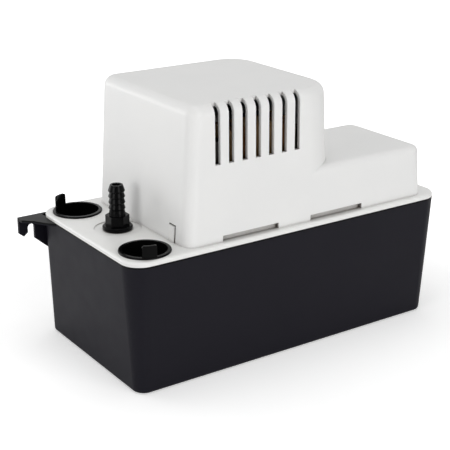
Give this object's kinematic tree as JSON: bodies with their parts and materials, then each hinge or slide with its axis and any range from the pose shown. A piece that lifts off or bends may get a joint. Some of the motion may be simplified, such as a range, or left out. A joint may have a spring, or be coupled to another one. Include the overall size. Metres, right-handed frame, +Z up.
{
  "type": "condensate pump",
  "caption": "Tank-mounted condensate pump with a float switch, a vertical motor under a vented cover, two drain inlets and a barbed check valve.",
  "frame": {"origin": "middle of the whole part's base, on the surface that the tank stands on", "axes": "+X along the tank away from the inlets, +Y towards the wall that the ears hang on, +Z up"},
  "size_m": [0.284, 0.127, 0.178],
  "materials": {
    "tank_plastic": "fine moulded texture",
    "deck_plastic": "satin moulded",
    "cover_plastic": "fine moulded texture",
    "inlet_plastic": "satin moulded",
    "valve_plastic": "satin moulded",
    "seal_rubber": "smooth",
    "lamination_steel": "stacked sheets",
    "bobbin_plastic": "smooth",
    "copper_winding": "enamelled wire",
    "zinc_plate": "zinc plated",
    "bearing_bronze": "sintered",
    "rotor_metal": "turned",
    "fan_metal": "stamped",
    "shaft_steel": "ground",
    "pump_plastic": "moulded",
    "impeller_plastic": "moulded",
    "float_plastic": "moulded",
    "switch_plastic": "moulded",
    "plunger_plastic": "moulded",
    "terminal_brass": "stamped",
    "bushing_plastic": "moulded"
  },
  "bodies": {
    "tank_unit": {"tank": "tank_plastic"},
    "pump_unit": {"deck": "deck_plastic", "valve_body": "valve_plastic", "valve_seat": "valve_plastic", "valve_oring": "seal_rubber", "stator_laminations": "lamination_steel", "coil_bobbin": "bobbin_plastic", "coil_winding": "copper_winding", "lower_bridge": "zinc_plate", "upper_bridge": "zinc_plate", "lower_bearing": "bearing_bronze", "upper_bearing": "bearing_bronze", "motor_bolts": "zinc_plate", "pump_column": "pump_plastic", "column_screws": "zinc_plate", "casing_cover": "pump_plastic", "casing_screws": "zinc_plate", "discharge_tube": "pump_plastic", "float_bracket": "deck_plastic", "bracket_screws": "zinc_plate", "float_pin": "shaft_steel", "switch_body": "switch_plastic", "switch_terminals": "terminal_brass", "switch_bracket": "zinc_plate", "switch_screws": "zinc_plate", "cord_bushing": "bushing_plastic"},
    "cover": {"motor_cover": "cover_plastic"},
    "front_inlet": {"inlet_adapter_front": "inlet_plastic"},
    "rear_inlet": {"inlet_adapter_rear": "inlet_plastic"},
    "check_ball": {"valve_ball": "seal_rubber"},
    "rotor_unit": {"rotor": "rotor_metal", "shaft": "shaft_steel", "cooling_fan": "fan_metal", "impeller": "impeller_plastic"},
    "float_unit": {"float": "float_plastic", "float_arm": "float_plastic"},
    "rod_unit": {"push_rod": "pump_plastic"},
    "lever_unit": {"switch_lever": "zinc_plate"},
    "plunger_unit": {"switch_plunger": "plunger_plastic"}
  },
  "joints": [
    {"name": "pump_lift", "type": "slide", "parent": "tank_unit", "child": "pump_unit", "axis": [0, 0, 1], "range_m": [0, 0.09]},
    {"name": "cover_lift", "type": "slide", "parent": "pump_unit", "child": "cover", "axis": [0, 0, 1], "range_m": [0, 0.085]},
    {"name": "front_inlet_lift", "type": "slide", "parent": "pump_unit", "child": "front_inlet", "axis": [0, 0, 1], "range_m": [0, 0.03]},
    {"name": "rear_inlet_lift", "type": "slide", "parent": "pump_unit", "child": "rear_inlet", "axis": [0, 0, 1], "range_m": [0, 0.03]},
    {"name": "check_ball_lift", "type": "slide", "parent": "pump_unit", "child": "check_ball", "axis": [0, 0, 1], "range_m": [0, 0.003]},
    {"name": "rotor_spin", "type": "hinge", "parent": "pump_unit", "child": "rotor_unit", "pos_m": [-0.022, 0.014, 0.1], "axis": [0, 0, 1], "continuous": true},
    {"name": "float_swing", "type": "hinge", "parent": "pump_unit", "child": "float_unit", "pos_m": [0.03, -0.018, 0.072], "axis": [0, -1, 0], "range_deg": [0, 22]},
    {"name": "rod_lift", "type": "slide", "parent": "pump_unit", "child": "rod_unit", "axis": [0, 0, 1], "range_m": [0, 0.0046]},
    {"name": "lever_swing", "type": "hinge", "parent": "pump_unit", "child": "lever_unit", "pos_m": [0.07, -0.018, 0.1036], "axis": [0, 1, 0], "range_deg": [0, 9.5]},
    {"name": "plunger_press", "type": "slide", "parent": "pump_unit", "child": "plunger_unit", "axis": [0, 0, 1], "range_m": [0, 0.0014]}
  ],
  "couplings": [
    {"joint": "rod_lift", "follows": "float_swing", "m_per_rad": 0.011668},
    {"joint": "lever_swing", "follows": "float_swing", "ratio": 0.41818},
    {"joint": "plunger_press", "follows": "float_swing", "m_per_rad": 0.00336}
  ]
}
